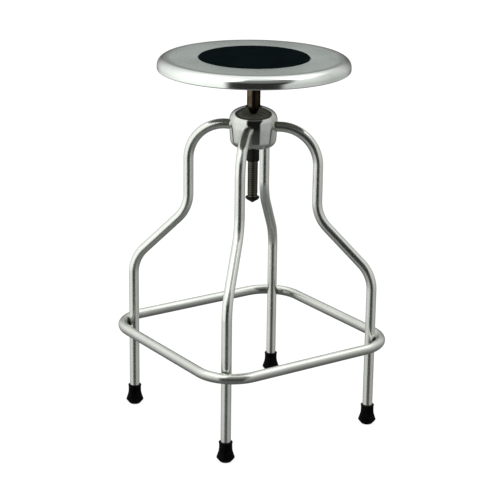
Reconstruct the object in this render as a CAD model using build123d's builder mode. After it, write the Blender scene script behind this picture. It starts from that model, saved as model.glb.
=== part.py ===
from build123d import *
import math
import os

# Swivel stool: a round sheet-steel seat on a lift screw that turns in a nut, held by a polished hub
# on four bent tube legs with a square foot ring. Millimetres, +Z up, origin on the floor under the screw.

# Tube stock and fits
TUBE_DIAMETER = 19.05
TUBE_WALL = 1.65
BEND_RADIUS = 70.0  # centre line of every bend in the legs and the foot ring
PUSH_FIT = 0.1  # radial room of pieces that are pushed together
RUN_FIT = 0.08  # radial room of pieces that slide or turn in each other
WELD_GAP = 0.35  # between the legs and the foot ring, filled by the weld beads

# Heights, from the top of the seat's steel as shown: the hub hangs below it and the knees below the hub
SEAT_HEIGHT = 701.0
HUB_DISTANCE = 127.5  # leg axis in the hub below the seat
KNEE_DISTANCE = 274.5  # where the sloping run would meet the lower run, below the leg axis in the hub

# Legs, as reach from the screw axis
NECK_REACH = 122.5
FOOT_REACH = 229.5
SLOPE_ANGLE = 45.0

# Foot ring and its weld beads
RING_HEIGHT = 168.3
BEAD_MARGIN = 2.5  # from the bead's edge to the side of the tube

# Rubber foot tips
TIP_HEIGHT = 38.0
TIP_WALL = 2.6
TIP_LIP_WIDTH = 0.6
TIP_LIP_HEIGHT = 1.6
TIP_NECK_HEIGHT = 22.0  # where the flare starts
TIP_FLARE_WIDTH = 4.7
TIP_FLARE_HEIGHT = 7.8
TIP_FLARE_ROUND = 1.2
TIP_SOLE_INSET = 1.7  # sole inside the neck
TIP_FLOOR = 8.0  # rubber under the steel washer
TIP_WASHER_THICKNESS = 1.5
TREAD_INSET = 5.0  # tread groove from the sole's edge
TREAD_WIDTH = 2.0
TREAD_DEPTH = 0.8

# Hub
HUB_RADIUS = 44.6
HUB_RISE = 37.3  # highest point of the crown above the leg axis
HUB_DROP = 39.5  # bottom face below the leg axis
HUB_CROWN_RADIUS = 70.0
HUB_SHOULDER_RADIUS = 20.0
HUB_HEEL_RADIUS = 14.5
HUB_TAPER = 2.6
SOCKET_WALL = 6.5  # hub metal between a leg's end and the central bore
LEDGE_THICKNESS = 6.0

# Lift nut and guide bush
NUT_NECK_WALL = 2.4
NUT_NECK_DROP = 28.0  # neck below the hub
NUT_HEAD_STEP = 3.0
NUT_HEAD_HEIGHT = 8.0
BUSH_LENGTH = 14.0
BUSH_PROUD = 1.0

# Lift screw, its sleeve and its stop
SCREW_DIAMETER = 19.05
SLEEVE_WALL = 2.8
SLEEVE_DIP = 13.2  # sleeve end below the mouth of the hub, as shown
STOP_DROP = 69.0  # stop washer below the end of the nut, as shown
STOP_STUD_DIAMETER = 12.0
STOP_OVERHANG = 1.0  # washer beyond the neck of the nut
STOP_THICKNESS = 3.2
STOP_EDGE_RADIUS = 0.8
STOP_PLAY = 0.2
END_CAP_WALL = 5.4
END_CAP_RIM = 1.2
END_CAP_CONE = 6.8
END_CAP_TIP_RADIUS = 1.0
END_CAP_GRIP = 4.0  # how far the stud goes into the cap

# Seat
SEAT_DIAMETER = 355.6
SEAT_DEPTH = 22.5
SHEET = 1.5
SEAT_EDGE_RADIUS = 15.0
SEAT_LIP_RADIUS = 2.2
SEAT_LIP_WIDTH = 9.0
PAD_DIAMETER = 203.2
PAD_THICKNESS = 3.1
PAD_EDGE_RADIUS = 1.2
PAD_RECESS = 1.5
RECESS_STEP_WIDTH = 1.6
RECESS_STEP_RADIUS = 1.2

# Seat plate, the screw socket under it and their fasteners
PLATE_DIAMETER = 160.0
PLATE_THICKNESS = 4.0
STUD_INSET = 18.0  # studs from the plate's edge
STUD_START_ANGLE = 45
STUD_COUNT = 4
SEAT_STUD_DIAMETER = 6.0
SEAT_STUD_PROUD = 3.0
NUT_FLATS = 10.0
NUT_HEIGHT = 5.0
SOCKET_FLANGE_WIDTH = 10.5
SOCKET_FLANGE_THICKNESS = 5.0
SOCKET_BOSS_WALL = 6.5
SOCKET_ROOT_RADIUS = 3.0
SOCKET_LENGTH = 34.0
SLEEVE_SEAT = 6.0  # how far the sleeve goes up into the socket
PIN_DIAMETER = 5.0
PIN_DROP = 15.0  # pin below the seat plate

# Places worked out from the sizes above
tube_radius = TUBE_DIAMETER / 2
screw_radius = SCREW_DIAMETER / 2
seat_radius = SEAT_DIAMETER / 2
pad_radius = PAD_DIAMETER / 2

leg_angles = {"back_right": 45, "back_left": 135, "front_left": 225, "front_right": 315}
hub_axis_height = SEAT_HEIGHT - HUB_DISTANCE
knee_height = hub_axis_height - KNEE_DISTANCE
shoulder_height = knee_height + (FOOT_REACH - NECK_REACH) * math.tan(math.radians(SLOPE_ANGLE))
leg_end_height = TIP_FLOOR + TIP_WASHER_THICKNESS
ring_corner_reach = FOOT_REACH + TUBE_DIAMETER + WELD_GAP
ring_half_side = (ring_corner_reach + BEND_RADIUS * (math.sqrt(2) - 1)) / math.sqrt(2)
bead_radius = tube_radius - BEAD_MARGIN

tip_bore_radius = tube_radius + PUSH_FIT
tip_neck_radius = tip_bore_radius + TIP_WALL
tip_sole_radius = tip_neck_radius - TIP_SOLE_INSET
tread_radius = tip_sole_radius - TREAD_INSET

hub_top = hub_axis_height + HUB_RISE
hub_crown_centre = hub_top - HUB_CROWN_RADIUS
hub_crown_angle = math.asin(HUB_RADIUS / HUB_CROWN_RADIUS)
hub_crown_edge = hub_crown_centre + HUB_CROWN_RADIUS * math.cos(hub_crown_angle)
hub_bottom = hub_axis_height - HUB_DROP
nut_bore_radius = screw_radius + RUN_FIT
nut_neck_radius = nut_bore_radius + NUT_NECK_WALL
nut_head_radius = nut_neck_radius + NUT_HEAD_STEP
hub_bore_radius = nut_head_radius + PUSH_FIT
hub_mouth = hub_crown_centre + math.sqrt(HUB_CROWN_RADIUS**2 - hub_bore_radius**2)
leg_root_reach = hub_bore_radius + SOCKET_WALL
nut_seat_height = hub_bottom + LEDGE_THICKNESS
nut_bottom = hub_bottom - NUT_NECK_DROP

sleeve_bore_radius = screw_radius + PUSH_FIT
sleeve_radius = sleeve_bore_radius + SLEEVE_WALL
sleeve_bottom = hub_mouth - SLEEVE_DIP
screw_bottom = nut_bottom - STOP_DROP
stop_stud_radius = STOP_STUD_DIAMETER / 2
end_cap_top = screw_bottom - STOP_THICKNESS - 2 * STOP_PLAY
end_cap_rim_bottom = end_cap_top - END_CAP_RIM
end_cap_bottom = end_cap_rim_bottom - END_CAP_CONE
stop_stud_bottom = end_cap_top - END_CAP_GRIP

sheet_top_middle = SEAT_HEIGHT - SHEET / 2
recess_middle = sheet_top_middle - PAD_RECESS
recess_slope = math.atan(PAD_RECESS / RECESS_STEP_WIDTH)
recess_radius = pad_radius + PUSH_FIT + RECESS_STEP_RADIUS * math.tan(recess_slope / 2)
pad_bottom = SEAT_HEIGHT - PAD_RECESS
plate_top = recess_middle - SHEET / 2
plate_bottom = plate_top - PLATE_THICKNESS
socket_radius = sleeve_radius + SOCKET_BOSS_WALL
socket_bottom = plate_bottom - SOCKET_LENGTH
sleeve_top = socket_bottom + SLEEVE_SEAT
socket_flange_bottom = plate_bottom - SOCKET_FLANGE_THICKNESS
pin_height = plate_bottom - PIN_DROP
stud_circle_radius = PLATE_DIAMETER / 2 - STUD_INSET
seat_stud_radius = SEAT_STUD_DIAMETER / 2
seat_stud_bottom = plate_bottom - NUT_HEIGHT - SEAT_STUD_PROUD

os.makedirs("parts", exist_ok=True)


def write(piece, label):
    """Label a finished piece and write it under that name."""
    piece.label = label
    export_step(piece, f"parts/{label}.step")


def outward(angle):
    """The horizontal direction from the screw axis towards a leg."""
    return Vector(1, 0, 0).rotate(Axis.Z, angle)


# Legs: one tube each, bent out of the hub, down, out at the knee and down to the floor
for name, angle in leg_angles.items():
    side_view = Plane(origin=(0, 0, 0), x_dir=outward(angle), z_dir=outward(angle).cross(Vector(0, 0, 1)))
    with BuildPart() as leg:
        with BuildLine(side_view) as leg_line:
            FilletPolyline(
                (leg_root_reach, hub_axis_height),
                (NECK_REACH, hub_axis_height),
                (NECK_REACH, shoulder_height),
                (FOOT_REACH, knee_height),
                (FOOT_REACH, leg_end_height),
                radius=BEND_RADIUS,
            )
        with BuildSketch(Plane(origin=leg_line.line @ 0, z_dir=leg_line.line % 0)):
            Circle(tube_radius)
            Circle(tube_radius - TUBE_WALL, mode=Mode.SUBTRACT)
        sweep()
    write(leg.part, f"leg_{name}")

# Foot ring: one tube bent into a square with round corners, closed by a butt weld, outside the legs
with BuildPart() as foot_ring:
    with BuildLine(Plane.XY.offset(RING_HEIGHT)) as ring_line:
        FilletPolyline(
            (ring_half_side, ring_half_side),
            (-ring_half_side, ring_half_side),
            (-ring_half_side, -ring_half_side),
            (ring_half_side, -ring_half_side),
            radius=BEND_RADIUS,
            close=True,
        )
    with BuildSketch(Plane(origin=ring_line.line @ 0, z_dir=ring_line.line % 0)):
        Circle(tube_radius)
        Circle(tube_radius - TUBE_WALL, mode=Mode.SUBTRACT)
    sweep()
write(foot_ring.part, "foot_ring")

# Weld beads: one between each leg and the ring's corner that goes round it
bead_reach = FOOT_REACH + tube_radius + WELD_GAP / 2
corner_centre_reach = ring_corner_reach - BEND_RADIUS
with BuildPart() as ring_welds:
    for angle in leg_angles.values():
        bead_middle = outward(angle) * bead_reach + Vector(0, 0, RING_HEIGHT)
        with BuildSketch(Plane(origin=bead_middle, z_dir=outward(angle))):
            Circle(bead_radius)
        extrude(amount=bead_radius, both=True)
    for angle in leg_angles.values():
        with Locations(outward(angle) * FOOT_REACH + Vector(0, 0, RING_HEIGHT)):
            Cylinder(tube_radius, 4 * bead_radius, mode=Mode.SUBTRACT)
        with Locations(outward(angle) * corner_centre_reach + Vector(0, 0, RING_HEIGHT)):
            Torus(BEND_RADIUS, tube_radius, mode=Mode.SUBTRACT)
write(ring_welds.part, "ring_welds")

# Foot tips: flared rubber caps pushed over the leg ends, with a tread groove in the sole
for name, angle in leg_angles.items():
    tip_plane = Plane(origin=outward(angle) * FOOT_REACH, x_dir=outward(angle), z_dir=(0, 0, 1))
    tip_section = Plane(tip_plane.origin, x_dir=tip_plane.x_dir, z_dir=-tip_plane.y_dir)
    with BuildPart() as foot_tip:
        with BuildSketch(tip_section):
            with BuildLine():
                Polyline(
                    (0, 0),
                    (tip_sole_radius, 0),
                    (tip_neck_radius + TIP_FLARE_WIDTH, TIP_FLARE_HEIGHT),
                    (tip_neck_radius, TIP_NECK_HEIGHT),
                    (tip_neck_radius, TIP_HEIGHT - TIP_LIP_HEIGHT),
                    (tip_neck_radius + TIP_LIP_WIDTH, TIP_HEIGHT - TIP_LIP_HEIGHT),
                    (tip_neck_radius + TIP_LIP_WIDTH, TIP_HEIGHT),
                    (tip_bore_radius, TIP_HEIGHT),
                    (tip_bore_radius, TIP_FLOOR),
                    (0, TIP_FLOOR),
                    close=True,
                )
            make_face()
        revolve(axis=Axis(tip_plane.origin, (0, 0, 1)))
        flare_edge = foot_tip.edges().filter_by(GeomType.CIRCLE).sort_by(SortBy.RADIUS)[-1]
        fillet(flare_edge, radius=TIP_FLARE_ROUND)
        with BuildSketch(tip_plane):
            Circle(tread_radius)
            Circle(tread_radius - TREAD_WIDTH, mode=Mode.SUBTRACT)
        extrude(amount=TREAD_DEPTH, mode=Mode.SUBTRACT)
    write(foot_tip.part, f"foot_tip_{name}")

# Tip washers: steel discs that keep the tube ends from cutting through the rubber
with BuildPart() as tip_washers:
    with BuildSketch(Plane.XY.offset(TIP_FLOOR)):
        with Locations(*[outward(angle) * FOOT_REACH for angle in leg_angles.values()]):
            Circle(tube_radius)
    extrude(amount=TIP_WASHER_THICKNESS)
write(tip_washers.part, "tip_washers")

# Hub: a polished bell with a crowned top, a socket for each leg and a bore for the nut and the bush
with BuildPart() as hub:
    with BuildSketch(Plane.XZ):
        with BuildLine():
            Polyline(
                (0, hub_top),
                (0, hub_bottom),
                (HUB_RADIUS - HUB_TAPER, hub_bottom),
                (HUB_RADIUS, hub_axis_height),
                (HUB_RADIUS, hub_crown_edge),
            )
            CenterArc(
                (0, hub_crown_centre),
                HUB_CROWN_RADIUS,
                start_angle=90 - math.degrees(hub_crown_angle),
                arc_size=math.degrees(hub_crown_angle),
            )
        make_face()
    revolve(axis=Axis.Z)
    fillet(hub.edges().filter_by_position(Axis.Z, hub_crown_edge, hub_crown_edge), radius=HUB_SHOULDER_RADIUS)
    fillet(hub.edges().filter_by_position(Axis.Z, hub_bottom, hub_bottom), radius=HUB_HEEL_RADIUS)
    with Locations((0, 0, hub_top)):
        CounterBoreHole(nut_neck_radius + PUSH_FIT, hub_bore_radius, hub_top - nut_seat_height)
    for angle in leg_angles.values():
        socket_end = outward(angle) * leg_root_reach + Vector(0, 0, hub_axis_height)
        with BuildSketch(Plane(origin=socket_end, z_dir=outward(angle))):
            Circle(tube_radius + PUSH_FIT)
        extrude(amount=HUB_RADIUS, mode=Mode.SUBTRACT)
write(hub.part, "hub")

# Lift nut: a headed bush that rests on the ledge in the hub and shows its neck below it
with BuildPart() as lift_nut:
    with BuildSketch(Plane.XY.offset(nut_bottom)):
        Circle(nut_neck_radius)
        Circle(nut_bore_radius, mode=Mode.SUBTRACT)
    extrude(amount=nut_seat_height - nut_bottom)
    with BuildSketch(Plane.XY.offset(nut_seat_height)):
        Circle(nut_head_radius)
        Circle(nut_bore_radius, mode=Mode.SUBTRACT)
    extrude(amount=NUT_HEAD_HEIGHT)
    chamfer(lift_nut.edges().filter_by(GeomType.CIRCLE).group_by(Axis.Z)[0], length=NUT_NECK_WALL / 3)
write(lift_nut.part, "lift_nut")

# Guide bush: a dark plastic ring in the mouth of the hub that steadies the sleeve
with BuildPart() as guide_bush:
    with BuildSketch(Plane.XY.offset(hub_mouth - BUSH_LENGTH)):
        Circle(hub_bore_radius - PUSH_FIT)
        Circle(sleeve_radius + RUN_FIT, mode=Mode.SUBTRACT)
    extrude(amount=BUSH_LENGTH + BUSH_PROUD)
    chamfer(guide_bush.edges().group_by(Axis.Z)[-1], length=BUSH_PROUD / 2)
write(guide_bush.part, "guide_bush")

# Lift screw: the plain envelope of the thread, with a stud below for the stop and a cross hole for the pin
with BuildPart() as lift_screw:
    with BuildSketch(Plane.XY.offset(screw_bottom)):
        Circle(screw_radius)
    extrude(amount=plate_bottom - screw_bottom)
    with BuildSketch(Plane.XY.offset(stop_stud_bottom)):
        Circle(stop_stud_radius)
    extrude(amount=screw_bottom - stop_stud_bottom)
    with BuildSketch(Plane.YZ):
        with Locations((0, pin_height)):
            Circle(PIN_DIAMETER / 2 + PUSH_FIT)
    extrude(amount=2 * screw_radius, both=True, mode=Mode.SUBTRACT)
write(lift_screw.part, "lift_screw")

# Screw sleeve: a smooth tube over the top of the thread that runs down into the hub
with BuildPart() as screw_sleeve:
    with BuildSketch(Plane.XY.offset(sleeve_bottom)):
        Circle(sleeve_radius)
        Circle(sleeve_bore_radius, mode=Mode.SUBTRACT)
    extrude(amount=sleeve_top - sleeve_bottom)
write(screw_sleeve.part, "screw_sleeve")

# Stop washer: loose on the stud, it meets the nut at the top of the travel
with BuildPart() as stop_washer:
    with BuildSketch(Plane.XY.offset(screw_bottom - STOP_PLAY - STOP_THICKNESS)):
        Circle(nut_neck_radius + STOP_OVERHANG)
        Circle(stop_stud_radius + RUN_FIT, mode=Mode.SUBTRACT)
    extrude(amount=STOP_THICKNESS)
    fillet(stop_washer.edges().filter_by(GeomType.CIRCLE).sort_by(SortBy.RADIUS)[-2:], radius=STOP_EDGE_RADIUS)
write(stop_washer.part, "stop_washer")

# End cap: a pointed nut on the stud that holds the washer
with BuildPart() as end_cap:
    with BuildSketch(Plane.XZ):
        with BuildLine():
            Polyline(
                (0, stop_stud_bottom),
                (stop_stud_radius + PUSH_FIT, stop_stud_bottom),
                (stop_stud_radius + PUSH_FIT, end_cap_top),
                (stop_stud_radius + END_CAP_WALL, end_cap_top),
                (stop_stud_radius + END_CAP_WALL, end_cap_rim_bottom),
                (END_CAP_TIP_RADIUS, end_cap_bottom),
                (0, end_cap_bottom),
                close=True,
            )
        make_face()
    revolve(axis=Axis.Z)
write(end_cap.part, "end_cap")

# Seat shell: sheet steel spun into a pan, with a recess for the pad and a lip rolled in below
with BuildPart() as seat_shell:
    with BuildSketch(Plane.XZ):
        with BuildLine():
            FilletPolyline(
                (0, recess_middle),
                (recess_radius, recess_middle),
                (recess_radius + RECESS_STEP_WIDTH, sheet_top_middle),
                (seat_radius - SHEET / 2, sheet_top_middle),
                (seat_radius - SHEET / 2, SEAT_HEIGHT - SEAT_DEPTH + SHEET / 2),
                (seat_radius - SEAT_LIP_WIDTH, SEAT_HEIGHT - SEAT_DEPTH + SHEET / 2),
                radius=[RECESS_STEP_RADIUS, RECESS_STEP_RADIUS,
                        SEAT_EDGE_RADIUS - SHEET / 2, SEAT_LIP_RADIUS - SHEET / 2],
            )
        trace(line_width=SHEET)
    revolve(axis=Axis.Z)
write(seat_shell.part, "seat_shell")

# Seat pad: a rubber disc bonded into the recess
with BuildPart() as seat_pad:
    with BuildSketch(Plane.XY.offset(pad_bottom)):
        Circle(pad_radius)
    extrude(amount=PAD_THICKNESS)
    fillet(seat_pad.edges().group_by(Axis.Z)[-1], radius=PAD_EDGE_RADIUS)
write(seat_pad.part, "seat_pad")

# Seat plate: stiffens the pan and carries the screw socket
with BuildPart() as seat_plate:
    with BuildSketch(Plane.XY.offset(plate_bottom)):
        Circle(PLATE_DIAMETER / 2)
        with PolarLocations(stud_circle_radius, STUD_COUNT, start_angle=STUD_START_ANGLE):
            Circle(seat_stud_radius + PUSH_FIT, mode=Mode.SUBTRACT)
    extrude(amount=PLATE_THICKNESS)
    chamfer(seat_plate.edges().group_by(Axis.Z)[0].sort_by(SortBy.RADIUS)[-1], length=PLATE_THICKNESS / 4)
write(seat_plate.part, "seat_plate")

# Seat studs: welded to the underside of the pan, through the plate
with BuildPart() as seat_studs:
    with BuildSketch(Plane.XY.offset(seat_stud_bottom)):
        with PolarLocations(stud_circle_radius, STUD_COUNT, start_angle=STUD_START_ANGLE):
            Circle(seat_stud_radius)
    extrude(amount=plate_top - seat_stud_bottom)
write(seat_studs.part, "seat_studs")

# Stud nuts: hexagon nuts that clamp the plate to the pan
with BuildPart() as stud_nuts:
    with BuildSketch(Plane.XY.offset(plate_bottom - NUT_HEIGHT)):
        with PolarLocations(stud_circle_radius, STUD_COUNT, start_angle=STUD_START_ANGLE):
            RegularPolygon(NUT_FLATS / 2, 6, major_radius=False)
            Circle(seat_stud_radius + PUSH_FIT, mode=Mode.SUBTRACT)
    extrude(amount=NUT_HEIGHT)
write(stud_nuts.part, "stud_nuts")

# Screw socket: a flanged boss under the plate that takes the top of the screw and the sleeve
with BuildPart() as screw_socket:
    with BuildSketch(Plane.XY.offset(socket_flange_bottom)):
        Circle(socket_radius + SOCKET_FLANGE_WIDTH)
    extrude(amount=SOCKET_FLANGE_THICKNESS)
    with BuildSketch(Plane.XY.offset(socket_bottom)):
        Circle(socket_radius)
    extrude(amount=SOCKET_LENGTH)
    root_edge = screw_socket.edges().filter_by_position(Axis.Z, socket_flange_bottom, socket_flange_bottom)
    fillet(root_edge.sort_by(SortBy.RADIUS)[0], radius=SOCKET_ROOT_RADIUS)
    with Locations(Plane((0, 0, socket_bottom), z_dir=(0, 0, -1))):
        CounterBoreHole(screw_radius + PUSH_FIT, sleeve_radius + PUSH_FIT, SLEEVE_SEAT)
    with BuildSketch(Plane.YZ):
        with Locations((0, pin_height)):
            Circle(PIN_DIAMETER / 2 + PUSH_FIT)
    extrude(amount=2 * socket_radius, both=True, mode=Mode.SUBTRACT)
write(screw_socket.part, "screw_socket")

# Socket pin: driven across the socket and the screw so that the seat turns the screw
with BuildPart() as socket_pin:
    with BuildSketch(Plane.YZ):
        with Locations((0, pin_height)):
            Circle(PIN_DIAMETER / 2)
    extrude(amount=socket_radius, both=True)
write(socket_pin.part, "socket_pin")
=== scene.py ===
# %% [markdown]
# # A laboratory stool that turns and rises on a screw
# The stool has a spun steel seat with a rubber pad, a lift screw, a polished hub, four bent tube legs, a
# square foot ring and rubber tips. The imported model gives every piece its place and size, and this lesson
# dresses each of those pieces with a finer mesh and a finish of its own. Sizes are in metres, with +Z up
# and the floor at zero.

# %% Load the frame
import math

import bmesh
import bpy
from mathutils import Matrix, Vector


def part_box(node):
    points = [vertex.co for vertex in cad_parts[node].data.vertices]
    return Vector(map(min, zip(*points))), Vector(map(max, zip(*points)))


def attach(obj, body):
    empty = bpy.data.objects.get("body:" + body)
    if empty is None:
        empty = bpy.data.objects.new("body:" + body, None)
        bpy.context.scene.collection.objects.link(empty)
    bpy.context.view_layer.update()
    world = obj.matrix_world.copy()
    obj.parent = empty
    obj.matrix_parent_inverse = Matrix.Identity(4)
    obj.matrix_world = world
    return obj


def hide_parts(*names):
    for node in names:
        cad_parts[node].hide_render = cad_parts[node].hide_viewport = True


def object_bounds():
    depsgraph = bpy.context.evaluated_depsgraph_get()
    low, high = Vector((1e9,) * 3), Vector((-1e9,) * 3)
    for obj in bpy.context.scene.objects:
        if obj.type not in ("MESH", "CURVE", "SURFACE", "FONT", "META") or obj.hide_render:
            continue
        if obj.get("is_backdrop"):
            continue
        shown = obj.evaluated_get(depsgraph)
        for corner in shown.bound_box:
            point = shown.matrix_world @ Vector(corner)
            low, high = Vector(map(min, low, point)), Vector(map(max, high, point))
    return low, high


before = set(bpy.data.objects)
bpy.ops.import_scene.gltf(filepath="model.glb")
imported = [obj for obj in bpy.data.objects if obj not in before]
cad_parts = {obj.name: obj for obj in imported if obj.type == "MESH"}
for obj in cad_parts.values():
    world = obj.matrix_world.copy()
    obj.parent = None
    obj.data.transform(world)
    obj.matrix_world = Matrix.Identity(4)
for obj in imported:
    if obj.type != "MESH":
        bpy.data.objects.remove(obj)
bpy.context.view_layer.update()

# %% [markdown]
# ## Sizes
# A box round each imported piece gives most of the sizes: half a tube's height is its radius, and the
# widest point of the hub is the hub's radius. A few sizes inside a piece, such as a bend or a sheet's
# thickness, don't show in a box, so they are named here once.

# %% Sizes that the boxes give, and those that they don't
MM = 0.001
DIAGONAL = math.sqrt(0.5)
BEND_RADIUS = 70 * MM
NECK_REACH = 122.5 * MM
KNEE_DISTANCE = 274.5 * MM
TUBE_WALL = 1.65 * MM
FIT = 0.1 * MM
LEAD = 4.2333 * MM
ON_AXIS = 0.0001 * MM
LEGS = {"back_right": (1, 1), "back_left": (-1, 1), "front_left": (-1, -1), "front_right": (1, -1)}
outward = {name: Vector((x, y, 0)).normalized() for name, (x, y) in LEGS.items()}


def corners_of(node):
    """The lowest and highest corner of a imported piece."""
    low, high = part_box(node)
    return Vector(low), Vector(high)


ring_low, ring_high = corners_of("foot_ring")
leg_low, leg_high = corners_of("leg_back_right")
tube_radius = (ring_high.z - ring_low.z) / 2
ring_height = (ring_high.z + ring_low.z) / 2
ring_half_side = ring_high.x - tube_radius
foot_reach = (leg_high.x - tube_radius) / DIAGONAL
leg_root_reach = leg_low.x / DIAGONAL + tube_radius
leg_axis = leg_high.z - tube_radius
feet = {name: (x * foot_reach * DIAGONAL, y * foot_reach * DIAGONAL) for name, (x, y) in LEGS.items()}
print(f"tube {tube_radius * 2000:.2f} mm, feet {foot_reach * 1000:.1f} mm from the screw")

# %% [markdown]
# ## Outlines
# Almost every piece here is either turned on a lathe or bent from a tube, so two helpers carry the work.
# Both start from a few corners, each with the radius that rounds it, as a maker would draw them. The
# rounding steps are fine enough for a mirror finish.


# %% Rounded outlines
def rounded(corners, closed=False, step=5.0):
    """Points along straight runs whose corners (x, y, radius) are rounded by arcs of small steps."""
    count = len(corners)
    points = []
    for i, (x, y, radius) in enumerate(corners):
        here = Vector((x, y))
        if radius == 0 or (not closed and i in (0, count - 1)):
            points.append(here)
            continue
        before = (Vector(corners[i - 1][:2]) - here).normalized()
        after = (Vector(corners[(i + 1) % count][:2]) - here).normalized()
        half = before.angle(after) / 2
        turn = math.pi - 2 * half
        centre = here + (before + after).normalized() * (radius / math.sin(half))
        start = here + before * (radius / math.tan(half)) - centre
        way = 1 if before.cross(after) < 0 else -1
        steps = max(2, round(math.degrees(turn) / step))
        points += [centre + Matrix.Rotation(way * turn * k / steps, 2) @ start for k in range(steps + 1)]
    return points


def inset(points, distance):
    """The same line moved to its right-hand side, as the other face of a bent sheet."""
    moved = []
    for i, here in enumerate(points):
        before, after = points[max(i - 1, 0)], points[min(i + 1, len(points) - 1)]
        ways = [way.normalized() for way in (here - before, after - here) if way.length > 0]
        along = sum(ways, Vector((0, 0))).normalized()
        side = Vector((along.y, -along.x))
        moved.append(here + side * (distance / max(along.dot(ways[0]), 0.5)))
    return moved


# %% [markdown]
# A lathe turns an outline of radius and height about an upright axis. An outline that starts and ends on
# the axis gives a full body, and a closed one gives a ring. The tube helper carries a circle along a bent
# path that lies in one plane, inside and outside, so that every tube is a real tube with a wall. Each
# mesh is closed, and only true edges are left sharp.


# %% The finishing of a mesh
def to_mesh(bm, name, sharp=32):
    """A finished mesh: faces outward, smooth, with edges sharper than some degrees left as edges."""
    bmesh.ops.recalc_face_normals(bm, faces=bm.faces)
    mesh = bpy.data.meshes.new(name)
    bm.to_mesh(mesh)
    bm.free()
    mesh.shade_smooth()
    mesh.set_sharp_from_angle(angle=math.radians(sharp))
    return mesh


# %% Points and faces round an axis
def angles_round(sides):
    """Evenly spaced angles round a full turn."""
    return [math.tau * k / sides for k in range(sides)]


def point_round(bm, centre, radius, angle, height):
    """A mesh point at some radius, angle and height about an upright axis through centre."""
    x = centre[0] + radius * math.cos(angle)
    y = centre[1] + radius * math.sin(angle)
    return bm.verts.new((x, y, height))


def ring_of_points(bm, centre, radius, height, sides):
    """A level ring of points about an upright axis through centre."""
    return [point_round(bm, centre, radius, angle, height) for angle in angles_round(sides)]


def skin(bm, rings, sides):
    """Faces from each ring of points to the next, where a ring may be a single point on the axis."""
    for low, high in zip(rings, rings[1:]):
        for k in range(sides):
            n = (k + 1) % sides
            around = [low[k % len(low)], low[n % len(low)], high[n % len(high)], high[k % len(high)]]
            bm.faces.new(list(dict.fromkeys(around)))


def turn(bm, outline, centre=(0, 0), sides=96, closed=False):
    """Turns an outline of (radius, height) about an upright axis through centre."""
    rings = []
    for radius, height in outline:
        if radius < ON_AXIS:
            rings.append([bm.verts.new((*centre, height))])
        else:
            rings.append(ring_of_points(bm, centre, radius, height, sides))
    skin(bm, rings + rings[:1] if closed else rings, sides)


def lathe(name, outline, centre=(0, 0), sides=96, closed=False):
    """A mesh turned from one outline."""
    bm = bmesh.new()
    turn(bm, outline, centre, sides, closed)
    return to_mesh(bm, name)


# %% A bent tube
def tube(name, path, across, closed=False, sides=48):
    """A hollow tube along a path in the plane whose unit normal is across.

    Its map runs round it and along it, in metres.
    """
    bm = bmesh.new()
    map_layer = bm.loops.layers.uv.new("tube_map")
    count = len(path)
    angles = angles_round(sides)
    bore_radius = tube_radius - TUBE_WALL
    walls, lengths = [], [0.0]
    for a, b in zip(path, path[1:] + path[:1]):
        lengths.append(lengths[-1] + (b - a).length)
    for i, here in enumerate(path):
        back = (here - path[i - 1]).normalized() if closed or i > 0 else (path[1] - here).normalized()
        ahead = (path[(i + 1) % count] - here).normalized() if closed or i < count - 1 else back
        side = across.cross((back + ahead).normalized())
        stretch = 1 / (back + ahead).normalized().dot(back)
        spokes = [side * (math.cos(angle) * stretch) + across * math.sin(angle) for angle in angles]
        walls.append([[bm.verts.new(here + spoke * radius) for spoke in spokes]
                      for radius in (tube_radius, bore_radius)])
    for i in range(count if closed else count - 1):
        for wall in (0, 1):
            low, high = walls[i][wall], walls[(i + 1) % count][wall]
            for k in range(sides):
                n = (k + 1) % sides
                face = bm.faces.new((low[k], low[n], high[n], high[k]))
                for loop, u, v in zip(face.loops, (k, k + 1, k + 1, k), (i, i, i + 1, i + 1)):
                    loop[map_layer].uv = (u / sides * math.tau * tube_radius, lengths[v])
    if not closed:
        for outer, inner in (walls[0], walls[-1]):
            for k in range(sides):
                bm.faces.new((outer[k], outer[(k + 1) % sides], inner[(k + 1) % sides], inner[k]))
    return to_mesh(bm, name)


# %% Put a piece in place
def place(name, mesh, body, node, slot, *finishes):
    """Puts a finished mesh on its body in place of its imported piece, with its finishes."""
    piece = bpy.data.objects.new(name, mesh)
    bpy.context.scene.collection.objects.link(piece)
    for finish in finishes:
        mesh.materials.append(finish)
    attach(piece, body)
    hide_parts(node)
    print(f"{name}: {len(mesh.polygons)} faces on {body}")
    return piece


def place_turned(name, outline, body, node, slot, finish, sides=96, closed=False):
    """Turns an outline about the screw's axis and puts it in place."""
    return place(name, lathe(name, outline, sides=sides, closed=closed), body, node, slot, finish)


# %% [markdown]
# ## Finishes
# Bare metal is never one even grey. Its polish leaves lines, hands leave it duller in patches, and both
# show as changes of roughness more than of colour. Every finish below is built from noise in the piece's
# own coordinates, so it needs no picture and moves with the piece. One helper adds a node and wires it in
# a single line.


# %% Helpers for finishes
def add(tree, kind, settings=None, **inputs):
    """Adds a shader node, sets its options, and fills its inputs with values or other nodes' outputs."""
    made = tree.nodes.new("ShaderNode" + kind)
    for key, value in (settings or {}).items():
        setattr(made, key, value)
    for key, value in inputs.items():
        socket = made.inputs[int(key[1:])] if key[1:].isdigit() else made.inputs[key.replace("_", " ")]
        if isinstance(value, bpy.types.NodeSocket):
            tree.links.new(value, socket)
        else:
            socket.default_value = value
    return made.outputs[0]


# %% Arithmetic in a finish
def arithmetic(tree, operation, *values):
    """A sum, a product or another step of arithmetic on numbers."""
    return add(tree, "Math", {"operation": operation}, **{f"_{i}": value for i, value in enumerate(values)})


def vectors(tree, operation, first, second):
    """A step of arithmetic on two vectors or colours."""
    return add(tree, "VectorMath", {"operation": operation}, _0=first, _1=second)


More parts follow.
